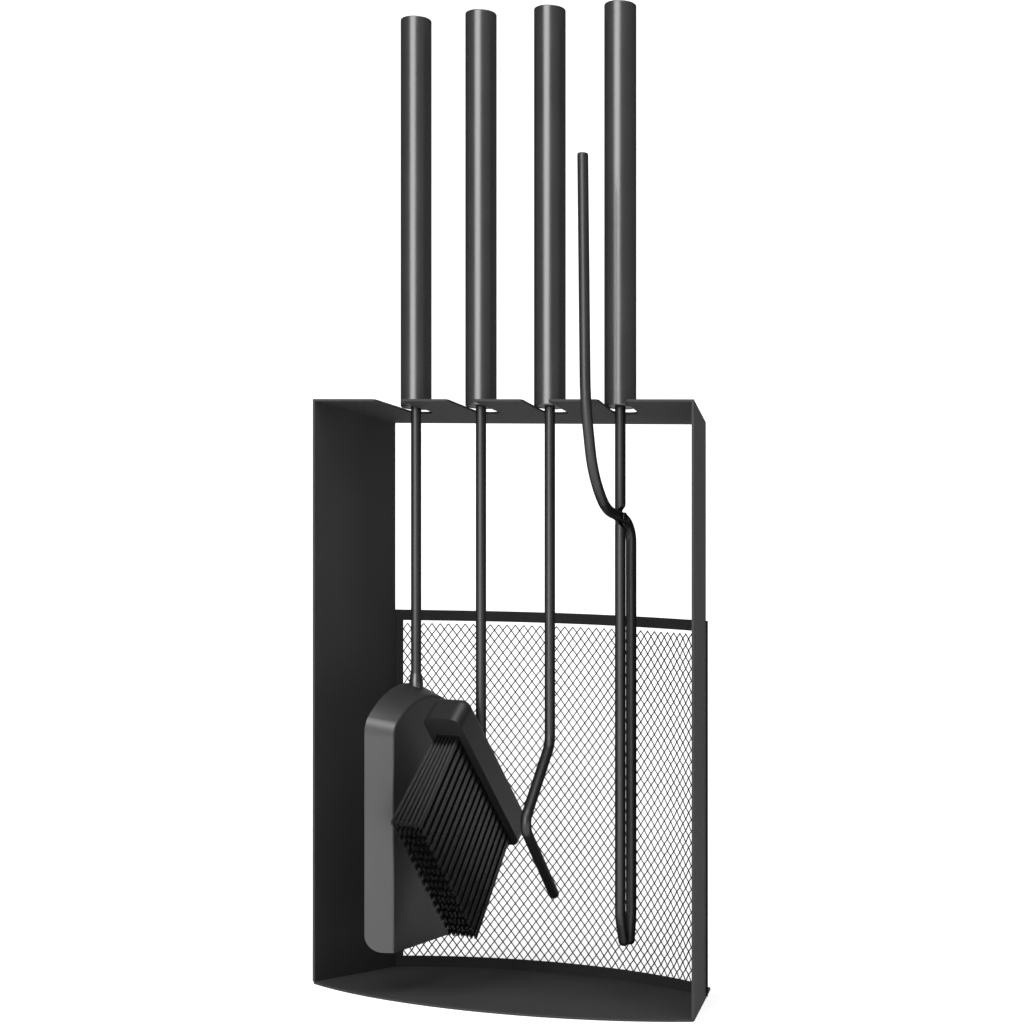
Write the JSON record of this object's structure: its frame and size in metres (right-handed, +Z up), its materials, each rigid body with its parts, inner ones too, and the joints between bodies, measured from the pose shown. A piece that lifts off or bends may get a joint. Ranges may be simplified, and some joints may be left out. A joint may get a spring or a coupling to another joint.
{
  "type": "fireplace tool set",
  "caption": "Black steel stand with a curved mesh guard and notched top rail, hung with a shovel, brush, poker and pivoting tongs on round tube handles.",
  "frame": {"origin": "on the underside of the base plate, midway between the side panels, below the shovel's bar line", "axes": "+X to the right seen from the front, +Y to the rear where the mesh guard is, +Z up"},
  "size_m": [0.2602, 0.2073, 0.6528],
  "materials": {
    "stand_coating": "matt black powder coat on sheet steel",
    "guard_wire": "black coated steel wire",
    "handle_coating": "satin black powder coat on steel tube",
    "bar_coating": "satin black powder coat on round bar",
    "pan_coating": "satin black powder coat on pressed sheet",
    "brush_head": "moulded black plastic, lightly textured",
    "bristle": "black synthetic bristle"
  },
  "bodies": {
    "stand": {"base_plate": "stand_coating", "left_side_panel": "stand_coating", "mesh_bottom_band": "stand_coating", "mesh_left_band": "stand_coating", "mesh_right_band": "stand_coating", "mesh_top_band": "stand_coating", "right_side_panel": "stand_coating", "tool_rail": "stand_coating", "wire_mesh": "guard_wire"},
    "shovel": {"shovel_handle_bush": "handle_coating", "shovel_handle_cap": "handle_coating", "shovel_handle_tube": "handle_coating", "shovel_pan": "pan_coating", "shovel_rod": "bar_coating", "shovel_weld_collar": "bar_coating"},
    "brush": {"brush_block": "brush_head", "brush_bristles": "bristle", "brush_handle_bush": "handle_coating", "brush_handle_cap": "handle_coating", "brush_handle_tube": "handle_coating", "brush_rod": "bar_coating"},
    "poker": {"poker_handle_bush": "handle_coating", "poker_handle_cap": "handle_coating", "poker_handle_tube": "handle_coating", "poker_rod": "bar_coating"},
    "tongs": {"tongs_fixed_arm": "bar_coating", "tongs_handle_bush": "handle_coating", "tongs_handle_cap": "handle_coating", "tongs_handle_tube": "handle_coating", "tongs_pivot_rivet": "bar_coating"},
    "tongs_moving_arm": {"tongs_moving_arm": "bar_coating"}
  },
  "joints": [
    {"name": "shovel_lift_off", "type": "slide", "parent": "stand", "child": "shovel", "axis": [-0.0906, -0.9739, 0.2079], "range_m": [0, 0.24]},
    {"name": "brush_lift_off", "type": "slide", "parent": "stand", "child": "brush", "axis": [-0.0303, -0.9777, 0.2079], "range_m": [0, 0.24]},
    {"name": "poker_lift_off", "type": "slide", "parent": "stand", "child": "poker", "axis": [0.0303, -0.9777, 0.2079], "range_m": [0, 0.24]},
    {"name": "tongs_lift_off", "type": "slide", "parent": "stand", "child": "tongs", "axis": [0.0906, -0.9739, 0.2079], "range_m": [0, 0.24]},
    {"name": "tongs_pivot", "type": "hinge", "parent": "tongs", "child": "tongs_moving_arm", "pos_m": [0.07219, -0.0045, 0.319], "axis": [0.9848, -0.1736, 0], "range_deg": [0, 13]}
  ]
}
